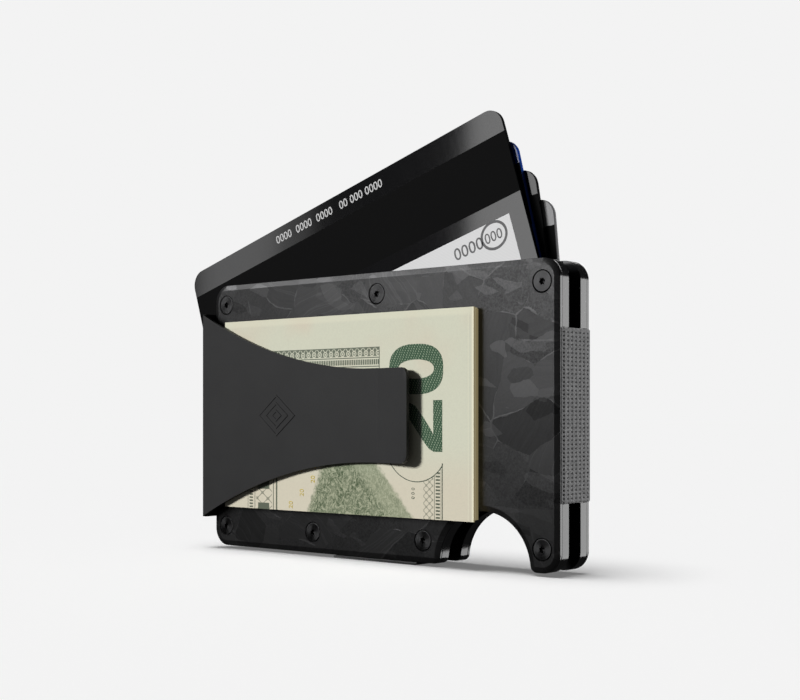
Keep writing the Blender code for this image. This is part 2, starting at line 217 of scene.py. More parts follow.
def evaluated_mesh(obj):
    """What an object's modifiers or its lettering come to, as a new mesh."""
    depsgraph = bpy.context.evaluated_depsgraph_get()
    return bpy.data.meshes.new_from_object(obj.evaluated_get(depsgraph))


def apply_modifiers(obj):
    """Replace an object's mesh by what its modifiers make of it."""
    mesh = evaluated_mesh(obj)
    obj.modifiers.clear()
    obj.data = mesh
    return obj


def round_edges(obj, width, segments, angle):
    bevel = obj.modifiers.new("edges", "BEVEL")
    bevel.width = width * METRE
    bevel.segments = segments
    bevel.limit_method = "ANGLE"
    bevel.angle_limit = math.radians(angle)
    return apply_modifiers(obj)


def smooth(obj, angle=40):
    """Smooth shading that keeps flat faces flat beside their rounded edges."""
    obj.data.shade_smooth()
    obj.data.set_sharp_from_angle(angle=math.radians(angle))
    weighted = obj.modifiers.new("normals", "WEIGHTED_NORMAL")
    weighted.keep_sharp = True
    return apply_modifiers(obj)


def paint(obj, *finishes):
    """Give an object these materials and no others."""
    obj.data.materials.clear()
    for finish in finishes:
        obj.data.materials.append(finish)


def cut(obj, bm, name, lift=CENTRE_Z):
    """Subtract a closed bmesh from an object."""
    cutter = add(name, finish_mesh(bm, name, lift))
    boolean = obj.modifiers.new("cut", "BOOLEAN")
    boolean.operation = "DIFFERENCE"
    boolean.solver = "EXACT"
    boolean.object = cutter
    apply_modifiers(obj)
    bpy.data.objects.remove(cutter)


def cut_boxes(obj, name, side, depths, *boxes):
    """Cut out boxes, each (X low, X high, Z low, Z high), between two depths."""
    y_low, y_high = sorted(from_depth(depth, side) for depth in depths)
    bm = bmesh.new()
    for x_low, x_high, z_low, z_high in boxes:
        middle = ((x_low + x_high) / 2, (y_low + y_high) / 2, (z_low + z_high) / 2)
        size = Matrix.Diagonal((x_high - x_low, y_high - y_low, z_high - z_low, 1))
        bmesh.ops.create_cube(bm, size=1, matrix=Matrix.Translation(middle) @ size)
    cut(obj, bm, name)


def extrude(bm, points, offset):
    """A closed prism: a flat outline of points in space, moved by an offset."""
    face = bm.faces.new([bm.verts.new(point) for point in points])
    result = bmesh.ops.extrude_face_region(bm, geom=[face], use_keep_orig=True)
    moved = [v for v in result["geom"] if isinstance(v, bmesh.types.BMVert)]
    bmesh.ops.translate(bm, vec=offset, verts=moved)
    return face


def join(bm, row, other):
    """Faces between two rows of vertices that each close on themselves."""
    for j in range(len(row)):
        k = (j + 1) % len(row)
        bm.faces.new((row[j], row[k], other[k], other[j]))


def join_rows(bm, rows):
    """Faces between closed rows of points. Returns the rows of vertices."""
    verts = [[bm.verts.new(point) for point in row] for row in rows]
    for row, other in zip(verts, verts[1:]):
        join(bm, row, other)
    return verts


def solid(bm, rows):
    """A closed body from its sections, which are rows of points."""
    verts = join_rows(bm, rows)
    bm.faces.new(verts[0])
    bm.faces.new(verts[-1])


def ring_body(bm, rows):
    """A closed body round a hole, from rows of points that each go round it."""
    verts = join_rows(bm, rows)
    join(bm, verts[-1], verts[0])


# --------------------------------------------------------------- materials


def per_mm(count):
    """A texture scale: that many features in a millimetre."""
    return count / METRE


class Value:
    """A number in a material's node tree, for plain arithmetic with others."""

    def __init__(self, graph, socket):
        self.graph = graph
        self.socket = socket

    def __add__(self, other):
        return self.graph.math("ADD", self, other)

    def __sub__(self, other):
        return self.graph.math("SUBTRACT", self, other)

    def __rsub__(self, other):
        return self.graph.math("SUBTRACT", other, self)

    def __mul__(self, other):
        return self.graph.math("MULTIPLY", self, other)

    def __abs__(self):
        return self.graph.math("ABSOLUTE", self)

    __radd__ = __add__

    def step(self, low, high, start=0.0, end=1.0):
        """A smooth step from start to end as the value goes from low to high."""
        ends = {"From_Min": low, "From_Max": high, "To_Min": start, "To_Max": end}
        made = self.graph.node("MapRange", Value=self, **ends)
        made.interpolation_type = "SMOOTHSTEP"
        return Value(self.graph, made.outputs[0])

    def inside(self, low, high, soft=0.04):
        """1 where the value lies between low and high, with soft ends."""
        return self.step(low - soft, low + soft) * self.step(high - soft, high + soft, 1.0, 0.0)

    def wave(self, period, shift=0.0):
        """A sine of the value, from 0 to 1."""
        return self.graph.math("SINE", (self + shift) * (math.tau / period)) * 0.5 + 0.5


def either(*masks):
    """The highest of several values."""
    result = masks[0]
    for mask in masks[1:]:
        result = result.graph.math("MAXIMUM", result, mask)
    return result


class Graph:
    """Short calls for building one material's node tree."""

    def __init__(self, name):
        self.material = bpy.data.materials.new(name)
        self.material.use_nodes = True
        self.tree = self.material.node_tree
        self.shader = self.tree.nodes["Principled BSDF"]

    def set(self, **values):
        """Set or link the shader's inputs, by name with _ for each space."""
        for name, value in values.items():
            self.feed(self.shader.inputs[name.replace("_", " ")], value)

    def feed(self, socket, value):
        """Give an input a constant, or a link from a value or another output."""
        if isinstance(value, Value):
            value = value.socket
        if isinstance(value, bpy.types.NodeSocket):
            self.tree.links.new(value, socket)
        elif socket.type == "RGBA" and len(value) == 3:
            socket.default_value = (*value, 1.0)
        else:
            socket.default_value = value

    def node(self, kind, **inputs):
        made = self.tree.nodes.new("ShaderNode" + kind)
        for name, value in inputs.items():
            self.feed(made.inputs[name.replace("_", " ")], value)
        return made

    def place(self):
        return self.node("TexCoord").outputs["Object"]

    def axes(self, vector):
        split = self.node("SeparateXYZ", Vector=vector)
        return [Value(self, split.outputs[i]) for i in range(3)]

    def joined(self, x, y, z):
        return self.node("CombineXYZ", X=x, Y=y, Z=z).outputs[0]

    def math(self, operation, a, b=0.0):
        made = self.tree.nodes.new("ShaderNodeMath")
        made.operation = operation
        self.feed(made.inputs[0], a)
        self.feed(made.inputs[1], b)
        return Value(self, made.outputs[0])

    def length(self, a, b):
        """How far the point (a, b) lies from the origin."""
        return self.math("SQRT", a * a + b * b)

    def vector(self, operation, a, b):
        made = self.tree.nodes.new("ShaderNodeVectorMath")
        made.operation = operation
        self.feed(made.inputs[0], a)
        self.feed(made.inputs[1], b)
        return made.outputs[0]

    def mix(self, factor, a, b):
        made = self.tree.nodes.new("ShaderNodeMix")
        made.data_type = "RGBA"
        self.feed(made.inputs["Factor"], factor)
        self.feed(made.inputs["A"], a)
        self.feed(made.inputs["B"], b)
        return made.outputs["Result"]

    def noise(self, vector, count, detail=2.0, roughness=0.5):
        """Noise with so many features in a millimetre."""
        scale = per_mm(count)
        made = self.node("TexNoise", Vector=vector, Scale=scale, Detail=detail, Roughness=roughness)
        return Value(self, made.outputs["Fac"])

    def stir(self, vector, source, count, reach, detail, roughness=0.5):
        """Move a vector by the noise at a source, by up to a reach in millimetres."""
        scale = per_mm(count)
        made = self.node("TexNoise", Vector=source, Scale=scale, Detail=detail, Roughness=roughness)
        offset = self.vector("MULTIPLY", made.outputs["Color"], (reach * METRE,) * 3)
        return self.vector("ADD", vector, offset)

    def cells(self, vector, count, output="Color", feature="F1"):
        """Voronoi cells, so many in a millimetre."""
        made = self.node("TexVoronoi", Vector=vector, Scale=per_mm(count))
        made.feature = feature
        return made.outputs[output]

    def bump(self, height, distance, strength=1.0, normal=None):
        """Bump whose height runs 0 to 1 over a distance in millimetres."""
        made = self.node("Bump", Height=height, Distance=distance * METRE, Strength=strength)
        if normal:
            self.feed(made.inputs["Normal"], normal)
        return made.outputs[0]


def forged_carbon():
    """Chips of carbon tow pressed flat in black resin, each with its own grain."""
    g = Graph("forged_carbon")
    place = g.place()
    moved = g.stir(place, place, 0.09, 4.5, 1.0)
    moved = g.stir(moved, place, 0.55, 0.9, 5.0, 0.65)
    x, y, z = g.axes(moved)
    # The rear shell shows another stretch of the same pattern
    x = x + y.step(-METRE, METRE, 0.0, 30 * METRE)

    # Large chips, each with a grain direction, a tone and its own speckle
    flat = g.joined(x, 0.0, z * 1.25)
    chance, turn, lift = g.axes(g.cells(flat, 0.1))
    angle = turn * math.tau
    cosine = g.math("COSINE", angle)
    sine = g.math("SINE", angle)
    along = x * cosine + z * sine
    across = z * cosine - x * sine
    grain = g.joined(along * 0.06, turn, across)
    lines = g.noise(grain, 2.4, 3.0, 0.65)
    folds = g.noise(grain, 0.55, 1.0)
    crease = abs(folds - 0.5).step(0.0, 0.028, 1.0, 0.0)
    crease = crease * lift.step(0.68, 0.7)
    speckle = g.noise(place, 3.0, 3.0, 0.75)
    speckle = (speckle - 0.5) * lift.step(0.4, 0.6, 1.0, 0.15)

    # Pale resin seams along some chip borders, and slivers of tow between chips
    border = g.cells(flat, 0.1, "Distance", "DISTANCE_TO_EDGE")
    width = g.noise(place, 0.13, 2.0).step(0.5, 0.64, 0.0, 0.02)
    seam = (width - border).step(0.0, 0.008)
    tilted = g.joined(x + z * 0.7, 0.0, z * 1.9)
    pick, shade, rise = g.axes(g.cells(tilted, 0.25))
    sliver = pick.step(0.8, 0.81)
    deep = chance.step(0.15, 0.14)
    hole = rise.step(0.93, 0.94)

    tone = 0.38 + (chance - 0.5) * 0.2
    parts = [(lines, 0.13), (speckle, 0.7), (crease, 0.13), (deep, -0.05), (hole, -0.1)]
    for part, share in parts:
        tone = tone + part * share
    raised = either(seam, sliver * shade.step(0.0, 1.0, 0.12, 0.72))
    tone = tone + raised * 0.27
    colour = g.mix(tone, (0.0, 0.0, 0.0), (0.15, 0.15, 0.152))
    g.set(Base_Color=colour, Metallic=0.9, Specular_IOR_Level=0.5)
    g.set(Roughness=tone.step(0.0, 1.0, 0.37, 0.29))
    height = raised * 0.6 + lines * 0.3
    fine = g.noise(place, 9.0, 2.0)
    relief = g.bump(height, 0.03, 0.5)
    g.set(Normal=g.bump(fine, 0.005, 0.4, relief))
    return g.material


def shell_edge():
    """The plates' dark machined sides, with faint marks along the cut."""
    g = Graph("shell_edge")
    place = g.place()
    marks = g.noise(g.vector("MULTIPLY", place, (1.0, 12.0, 1.0)), 1.5, 3.0)
    g.set(Base_Color=g.mix(marks, (0.004, 0.004, 0.0042), (0.008, 0.008, 0.0084)))
    g.set(Roughness=marks.step(0.2, 0.8, 0.13, 0.18), IOR=1.6)
    g.set(Normal=g.bump(marks, 0.002, 0.2))
    return g.material


def screw_steel():
    """Dark polished steel with the fine rings that turning leaves."""
    g = Graph("screw_steel")
    x, y, z = g.axes(g.place())
    rings = g.math("SINE", g.length(x, y) * per_mm(42.0))
    grain = g.noise(g.place(), 6.0, 3.0)
    g.set(Base_Color=g.mix(grain, (0.06, 0.06, 0.061), (0.095, 0.095, 0.097)), Metallic=1.0)
    g.set(Roughness=grain.step(0.3, 0.7, 0.3, 0.38), Anisotropic=0.75)
    g.set(Normal=g.bump(rings, 0.003, 0.4))
    return g.material


def powder_coat():
    """Matt black powder coat with a fine pebble and a slightly worn sheen."""
    g = Graph("powder_coat")
    place = g.place()
    pebble = g.noise(place, 5.0, 3.0, 0.6)
    broad = g.noise(place, 0.12, 2.0)
    g.set(Base_Color=g.mix(broad, (0.024, 0.024, 0.0244), (0.031, 0.031, 0.0314)))
    g.set(Roughness=pebble.step(0.3, 0.7, 0.42, 0.54), Specular_IOR_Level=0.3)
    g.set(Normal=g.bump(pebble, 0.012, 0.35))
    return g.material


def webbing(name, dark, light):
    """Grey elastic webbing: mottled yarn with fine twisted fibres."""
    g = Graph(name)
    place = g.place()
    x, y, z = g.axes(place)
    twist = g.math("SINE", (z + x + y) * per_mm(24.0))
    yarn = g.noise(place, 2.2, 3.0)
    shade = yarn * 0.7 + twist * 0.08
    g.set(Base_Color=g.mix(shade.step(0.15, 0.6), dark, light))
    g.set(Roughness=0.85, Sheen_Weight=0.25, Sheen_Roughness=0.5)
    g.set(Normal=g.bump(twist, 0.02, 0.5))
    return g.material


def card_gloss(name, colour, roughness=0.07):
    """Polished card laminate over a printed colour, with faint handling marks."""
    g = Graph(name)
    place = g.place()
    marks = g.noise(g.vector("MULTIPLY", place, (1.0, 1.0, 0.15)), 1.1, 4.0, 0.6)
    g.set(Base_Color=g.mix(marks, colour, [part * 1.18 for part in colour]))
    g.set(Roughness=marks.step(0.3, 0.8, roughness, roughness + 0.012), IOR=1.5)
    return g.material


def magnetic_stripe():
    g = Graph("magnetic_stripe")
    grain = g.noise(g.place(), 8.0, 3.0)
    g.set(Base_Color=g.mix(grain, (0.003, 0.003, 0.0031), (0.0045, 0.0045, 0.0046)))
    g.set(Roughness=0.6, Specular_IOR_Level=0.06, Normal=g.bump(grain, 0.004, 0.3))
    return g.material


def signature_paper():
    """The pale signature panel, with a faint diagonal security screen."""
    g = Graph("signature_paper")
    x, y, z = g.axes(g.place())
    screen = g.math("SINE", (x + z) * per_mm(9.0))
    g.set(Base_Color=g.mix(screen.step(-1.0, 1.0), (0.7, 0.7, 0.705), (0.72, 0.72, 0.72)))
    g.set(Roughness=0.7, Normal=g.bump(screen, 0.002, 0.3))
    return g.material


def ink(name, dark, light):
    """Printed ink that a fine noise makes slightly uneven."""
    g = Graph(name)
    speckle = g.noise(g.place(), 7.0, 3.0)
    g.set(Base_Color=g.mix(speckle, dark, light), Roughness=0.6)
    return g.material


# ------------------------------------------------------------------ plates


def slab(outline, y_outer, y_inner, chamfer=(0, 0)):
    """An outline in X and Z, extruded along Y, with a chamfer on its outer face."""
    width, depth = chamfer
    rise = math.copysign(depth, y_outer - y_inner)
    bm = bmesh.new()
    points = [(x, y_outer - rise, z) for x, z in outline]
    outer = extrude(bm, points, (0, y_inner - y_outer + rise, 0))
    bmesh.ops.recalc_face_normals(bm, faces=bm.faces)
    if width:
        bmesh.ops.inset_region(bm, faces=[outer], thickness=width, use_even_offset=True)
        bmesh.ops.translate(bm, vec=(0, rise, 0), verts=outer.verts)
    return bm


def drills(side, start, end):
    """Cones at the screw spots, each from one (depth, radius) to another."""
    bm = bmesh.new()
    ends = sorted([(from_depth(d, side), r) for d, r in (start, end)])
    turn = Matrix.Rotation(math.radians(-90), 4, "X")
    (near, first), (far, second) = ends
    middle = (near + far) / 2
    cone = {"radius1": first, "radius2": second, "depth": far - near}
    for x, z in SCREW_SPOTS:
        place = Matrix.Translation((x, middle, z)) @ turn
        bmesh.ops.create_cone(bm, cap_ends=True, segments=48, matrix=place, **cone)
    return bm


def plate(name, side, start, end, chamfer=(0, 0)):
    bm = slab(plate_outline(), from_depth(start, side), from_depth(end, side), chamfer)
    made = add(name, finish_mesh(bm, name))
    return round_edges(made, 0.045, 2, 12)


def paint_plate(obj, face_finish, edge_finish):
    """The face and its chamfer get one finish and the plate's sides the other."""
    paint(obj, face_finish, edge_finish)
    for polygon in obj.data.polygons:
        polygon.material_index = 0 if abs(polygon.normal.y) > 0.5 else 1


def outer_plate(side_name, side, body):
    """The carbon plate, its screw seats sunk with sharp rims for the heads."""
    name = side_name + "_outer_plate"
    made = plate(name + "_shape", side, 0, OUTER_PLATE, (CHAMFER_WIDTH, CHAMFER_DEPTH))
    sink = SINK_RADIUS
    cut(made, drills(side, (-0.1, sink + 0.1), (0.12, sink - 0.12)), "sinks")
    cut(made, drills(side, (0.1, sink - 0.06), (OUTER_PLATE + 0.1, sink - 1.0)), "cones")
    if side == FRONT:
        # Room for the clip's legs at the left edge
        depths = (0.55, OUTER_PLATE + 0.2)
        cut_boxes(made, "relief", side, depths, (-HALF_WIDTH - 1, -HALF_WIDTH + 0.3, -21.4, 21.4))
    paint_plate(smooth(made), CARBON, EDGE)
    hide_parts(name)
    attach(made, body)


def inner_plate(side_name, side, body):
    """The plate under the carbon one, with room for the bands and the clip's ears."""
    name = side_name + "_inner_plate"
    made = plate(name + "_shape", side, OUTER_PLATE, SHELL)
    top = OUTER_PLATE - 0.1
    depths = (top, POCKET_FLOOR)
    past = HALF_WIDTH + 1
    root = HALF_WIDTH - LEG_INSET - 0.3
    room = SIDE_BAND_HALF + 0.1
    low, high = BOTTOM_BAND_X
    right = (root, past, -room, room)
    bottom = (low - 0.3, high + 0.3, -HALF_HEIGHT - 1, -HALF_HEIGHT + 5.3)
    left = (-past, -root, -room, room)
    cut_boxes(made, "pockets", side, depths, right, bottom, left)
    seat = (HALF_WIDTH - 0.2, past, -room, room)
    cut_boxes(made, "seat", side, (top, SHELL + 0.1), seat)
    if side == FRONT:
        cut_boxes(made, "ears", side, depths, (-past, -35.7, -25.8, 25.8))
    cut(made, drills(side, (top, SCREW_BORE), (SHELL + 0.1, SCREW_BORE)), "bores")
    paint_plate(smooth(made), EDGE, EDGE)
    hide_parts(name)
    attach(made, body)


# ------------------------------------------------------------------ screws


def lobes(radius, lobe):
    """A six-lobe outline about the origin."""
    steps = 60
    points = []
    for i in range(steps):
        angle = math.tau * i / steps
        reach = radius + lobe * math.cos(6 * angle)
        points.append((reach * math.cos(angle), reach * math.sin(angle)))
    return points


def screw_mesh():
    """A countersunk screw along Z, its head at the top, with a six-lobe recess."""
    profile = [
        (SINK_RADIUS - 0.32, 0.0),
        (SINK_RADIUS - 0.22, -0.04),
        (SINK_RADIUS - 0.18, -0.14),
        (1.0, -1.0),
        (1.0, -2.6),
        (0.9, -2.7),
    ]
    turns = [math.tau * i / 64 for i in range(64)]
    bm = bmesh.new()
    solid(bm, [[(r * math.cos(a), r * math.sin(a), z) for a in turns] for r, z in profile])
    made = add("screw_shape", finish_mesh(bm, "screw_shape", 0))

    recess = bmesh.new()
    sections = [(0.06, 0.65), (0.0, 0.58), (-0.1, 0.44), (-0.4, 0.42)]
    rows = [[(x, y, z) for x, y in lobes(r, 0.085)] for z, r in sections]
    verts = join_rows(recess, rows)
    recess.faces.new(verts[0])
    tip = recess.verts.new((0, 0, -0.62))
    for a, b in zip(verts[-1], verts[-1][1:] + verts[-1][:1]):
        recess.faces.new((a, b, tip))
    cut(made, recess, "recess", 0)
    mesh = smooth(made, 30).data
    mesh.materials.append(STEEL)
    bpy.data.objects.remove(made)
    return mesh


def add_screws(side_name, side, body, mesh):
    for number, (x, z) in enumerate(SCREW_SPOTS, start=1):
        node = f"{side_name}_screw_{number}"
        made = add(node + "_turned", mesh)
        made.location = Vector((x, from_depth(0.01, side), z + CENTRE_Z)) * METRE
        made.rotation_euler = (math.radians(-90 * side), math.radians(37 * number), 0)
        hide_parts(node)
        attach(made, body)


# ------------------------------------------------------------------- bands


def weave(along, across):
    """Relief of the webbing, 0 to 1: raised yarn round a grid of small pits."""
    down = abs(across / ROW_PITCH - round(across / ROW_PITCH)) * ROW_PITCH
    aside = abs(along / COLUMN_PITCH - math.floor(along / COLUMN_PITCH) - 0.5) * COLUMN_PITCH
    away = math.hypot(down / PIT_HALF[0], aside / PIT_HALF[1])
    return min(1, away) ** 4


def woven_strip(bm, path, width, thickness, relief, place, fine=6):
    """A closed strip of webbing along a path, with its weave on the outer side.

    path lists (point, outward normal) in a plane; place turns a point of that
    plane and a distance across the strip into a point in space.
    """
    count = round(width / (ROW_PITCH / fine))
    rows = []
    run = 0.0
    last = path[0][0]
    for point, normal in path:
        run += math.dist(point, last)
        last = point
        top = []
        bottom = []
        for j in range(count + 1):
            side = -width / 2 + width * j / count
            rim = min(1.0, min(j, count - j) / 2)
            rise = thickness / 2 + relief * weave(run, side) * rim
            for row, lift in ((top, rise), (bottom, -thickness / 2)):
                row.append(place((point[0] + normal[0] * lift, point[1] + normal[1] * lift), side))
        rows.append(top + bottom[::-1])
    solid(bm, rows)


def path_points(corners, step, round_radius=0.0):
    """Points with normals along straight runs, their corners cut by arcs."""
    points = [Vector(c) for c in corners]
    route = [points[0]]
    for before, corner, after in zip(points, points[1:], points[2:]):
        into = (corner - before).normalized()
        out = (after - corner).normalized()
        bend = into.angle(out)
        cut_back = min(round_radius * math.tan(bend / 2), (corner - before).length / 2)
        for i in range(7):
            t = i / 6
            start = corner - into * cut_back
            end = corner + out * cut_back
            route.append((1 - t) ** 2 * start + 2 * t * (1 - t) * corner + t**2 * end)
    route.append(points[-1])
    fine = []
    for a, b in zip(route, route[1:]):
        parts = max(1, round((b - a).length / step))
        fine += [a.lerp(b, i / parts) for i in range(parts)]
    fine.append(route[-1])
    result = []
    for i, point in enumerate(fine):
        along = fine[min(i + 1, len(fine) - 1)] - fine[max(i - 1, 0)]
        along.normalize()
        result.append(((point.x, point.y), (along.y, -along.x)))
    return result


def band_legs(bm, tip, root, width, place):
    """The two ends of a band, which run into the pockets of both shells."""
    for y in (-LEG_Y, LEG_Y):
        ends = [(tip, y), (root, y)]
        leg = path_points(ends if y < 0 else ends[::-1], 2 * YARN_STEP)
        woven_strip(bm, leg, width, 0.3, 0.08, place, 2)


def right_band():
    """The band across the right side, its edges turned in beside the plates."""

    def place(point, side):
        return (point[0], point[1], side)

    bm = bmesh.new()
    edge = HALF_WIDTH + 0.09
    turned = edge - 0.13
    ends = WEB_HALF - 0.8
    corners = [(turned, -WEB_HALF), (edge, -ends), (edge, ends), (turned, WEB_HALF)]
    width = 2 * SIDE_BAND_HALF
    woven_strip(bm, path_points(corners, YARN_STEP, 2.2), width, 0.14, 0.18, place)
    band_legs(bm, edge - 0.12, HALF_WIDTH - LEG_INSET, width, place)
    finish_band(bm, "right_elastic", WEBBING)


def bottom_band():
    """The band across the lower side, which always lies in the shade; it uses a darker copy of the
    webbing as painted shade.
    """
    low, high = BOTTOM_BAND_X

    def place(point, side):
        return ((low + high) / 2 - side, point[1], -point[0])

    bm = bmesh.new()
    edge = HALF_HEIGHT + 0.3
    web = path_points([(edge, -WEB_HALF), (edge, WEB_HALF)], YARN_STEP)
    woven_strip(bm, web, high - low, 0.3, 0.15, place)
    band_legs(bm, edge - 0.16, HALF_HEIGHT - 5, high - low, place)
    # A darker copy of the webbing: painted shade
    finish_band(bm, "bottom_elastic", PAINTED_SHADE_WEBBING)


def stretched_reach(z):
    """How far left the stretched band's middle lies at a height."""
    reach = HALF_WIDTH + 0.3
    for lean, x, middle in CARD_POSES:
        tilt = math.radians(lean)
        edge_x = x - CARD_WIDTH / 2 * math.cos(tilt)
        edge_z = middle - CARD_WIDTH / 2 * math.sin(tilt)
        left = -(edge_x - (z - edge_z) * math.tan(tilt))
        reach = max(reach, left + 0.4)
    return reach


def left_band():
    """The band that the leaning cards push outwards, flat against their edges."""
    bm = bmesh.new()
    side = HALF_WIDTH + 0.3
    far = stretched_reach(SIDE_BAND_HALF)
    turn = CARD_GAP / 2 + 0.2

    def place(point, height):
        x, y = point
        out = max(-x - side, 0) / (far - side)
        return (-(min(-x, side) + out * (stretched_reach(-height) - side)), y, -height)

    rear = [(LEG_INSET - HALF_WIDTH, LEG_Y), (-side, LEG_Y), (-far, turn)]
    path = path_points(rear + [(x, -y) for x, y in rear[::-1]], YARN_STEP, 0.5)
    woven_strip(bm, path, 2 * SIDE_BAND_HALF, 0.25, 0.15, place)
    finish_band(bm, "left_elastic", WEBBING)


def finish_band(bm, node, finish):
    made = add(node + "_woven", finish_mesh(bm, node))
    made.data.shade_smooth()
    paint(made, finish)
    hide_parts(node)
    gap = CARD_GAP / 2 * METRE
    -gap
    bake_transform(made)


# -------------------------------------------------------------------- clip


def clip_half_height(x):
    """Half the clip's height at X: a straight tongue that widens to the left."""
    return TONGUE_HALF + 0.00556 * min(x - 3.0, 0) ** 2


def clip_stations():
    """The clip's bent path, from its ears to its tip, as (x, depth, half height)."""
    wall = CLIP_WALL_X
    top = clip_half_height(wall)
    ear_bend = 0.8
    inner_x = wall + ear_bend
    stations = [(-36.0, EAR_DEPTH, top), (inner_x + 1.3, EAR_DEPTH, top)]
    for x, depth in arc(inner_x, EAR_DEPTH - ear_bend, ear_bend, 90, 180, 6):
        stations.append((x, depth, top))
    front_x = wall + CLIP_BEND
    for x, depth in arc(front_x, CLIP_FRONT_DEPTH + CLIP_BEND, CLIP_BEND, 180, 270, 8):
        stations.append((x, depth, clip_half_height(x)))
    crease_x, crease_depth = CLIP_CREASE
    tip_x, tip_depth = CLIP_TIP
    slope_in = (crease_depth - CLIP_FRONT_DEPTH) / (crease_x - front_x)
    slope_out = (tip_depth - crease_depth) / (tip_x - crease_x)
    radius = 1.7
    xs = [front_x + (crease_x - 1.5 - front_x) * i / 32 for i in range(1, 33)]
    xs += [crease_x - 1.0 + 0.25 * i for i in range(9)]
    xs += [crease_x + 1.5 + (tip_x - radius - crease_x - 1.5) * i / 5 for i in range(6)]
    turns = [math.radians(90 * i / 10) for i in range(1, 11)]
    xs += [tip_x - radius * (1 - math.sin(turn)) for turn in turns]
    for x in xs:
        flat = crease_depth + slope_in * (x - crease_x)
        flare = crease_depth + slope_out * (x - crease_x)
        share = min(max((x - crease_x + 1.0) / 2.0, 0), 1)
        depth = flat + (flare - flat) * share * share * (3 - 2 * share)
        half = clip_half_height(x)
        into = max(x - (tip_x - radius), 0)
        half -= radius - math.sqrt(max(radius * radius - into * into, 0))
        stations.append((x, depth, half))
    return stations


def spring_clip():
    """The clip, bent from one sheet: ears under the plate, legs, a wall and the tongue."""
    stations = clip_stations()
    wall_column = 8
    ear_low, ear_high = EAR_HALF
    share = ear_low / stations[0][2]
    bm = bmesh.new()
    columns = []
    for x, depth, half in stations:
        heights = [-ear_high, -half, -half * share, half * share, half, ear_high]
        columns.append([bm.verts.new((x, from_depth(depth), z)) for z in heights])
    for i in range(len(columns) - 1):
        for j in range(5):
            past_ears = j in (0, 4) and i > 0
            between_legs = j == 2 and i < wall_column
            if not past_ears and not between_legs:
                a, b = columns[i], columns[i + 1]
                bm.faces.new((a[j], b[j], b[j + 1], a[j + 1]))
    loose = [v for v in bm.verts if not v.link_faces]
    bmesh.ops.delete(bm, geom=loose, context="VERTS")
    made = add("spring_clip", finish_mesh(bm, "spring_clip"))
    solidify = made.modifiers.new("thickness", "SOLIDIFY")
    solidify.thickness = CLIP_THICKNESS * METRE
    solidify.offset = 0
    solidify.use_even_offset = True
    apply_modifiers(made)
    holes = bmesh.new()
    turn = Matrix.Rotation(math.radians(90), 4, "X")
    for z in (-SCREW_Z, SCREW_Z):
        place = Matrix.Translation((-SCREW_X, from_depth(EAR_DEPTH), z)) @ turn
        bore = {"radius1": SCREW_BORE, "radius2": SCREW_BORE, "depth": 2}
        bmesh.ops.create_cone(holes, cap_ends=True, segments=32, matrix=place, **bore)
    cut(made, holes, "ear_holes")
    round_edges(made, 0.14, 3, 50)
    paint(smooth(made, 50), COAT)
    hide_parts("clip_base", "clip_tongue")
    wall_y = from_depth(-0.8) * METRE
    bend_y = from_depth(CLIP_FRONT_DEPTH + CLIP_BEND) * METRE
    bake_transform(made)


def clip_emblem():
    """A plain mark of nested diamonds, standing a hair proud of the clip."""
    bm = bmesh.new()
    x_middle = -22.3
    crease_x, crease_depth = CLIP_CREASE
    slope = (crease_depth - CLIP_FRONT_DEPTH) / (crease_x - CLIP_WALL_X - CLIP_BEND)
    depth = crease_depth + slope * (x_middle - crease_x) - CLIP_THICKNESS / 2
    y = from_depth(depth)
    back, front = y + 0.06, y - 0.09
    line = 0.588
    for reach in (5.2, 3.3, 1.5):
        hole = reach - line
        rows = []
        for size, row_y in ((reach, back), (reach, front), (hole, front), (hole, back)):
            corners = ((size, 0), (0, size * 0.8), (-size, 0), (0, -size * 0.8))
            rows.append([(x_middle + x, row_y, z) for x, z in corners])
        ring_body(bm, rows)
    made = add("clip_emblem", finish_mesh(bm, "clip_emblem"))
    paint(made, COAT)
    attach(made, "clip")


# ------------------------------------------------------------------- notes


def stroke(bm, points, widths, y_near, y_far):
    """A closed thin ribbon in the XZ plane along points, of given widths."""
    rows = []
    for i, (x, z) in enumerate(points):
        before = points[max(i - 1, 0)]
        after = points[min(i + 1, len(points) - 1)]
        along = Vector((after[0] - before[0], after[1] - before[1])).normalized()
        half = (widths[i] if isinstance(widths, list) else widths) / 2
        dx, dz = -along.y * half, along.x * half
        row = [(x + dx, y_near, z + dz), (x - dx, y_near, z - dz)]
        rows.append(row + [(x - dx, y_far, z - dz), (x + dx, y_far, z + dz)])
    solid(bm, rows)


def digits(name, text, height, finish, bold=0.0):
    """Flat printed digits in the XZ plane, standing on the origin."""
    curve = bpy.data.curves.new(name, "FONT")
    curve.body = text
    curve.size = height * METRE / 0.72
    curve.offset = bold * METRE
    curve.extrude = PRINT_HEIGHT * METRE
    curve.resolution_u = 4
    lettering = add(name, curve)
    mesh = evaluated_mesh(lettering)
    bpy.data.objects.remove(lettering)
    mesh.transform(Matrix.Rotation(math.radians(90), 4, "X"))
    made = add(name, mesh)
    paint(made, finish)
    return made


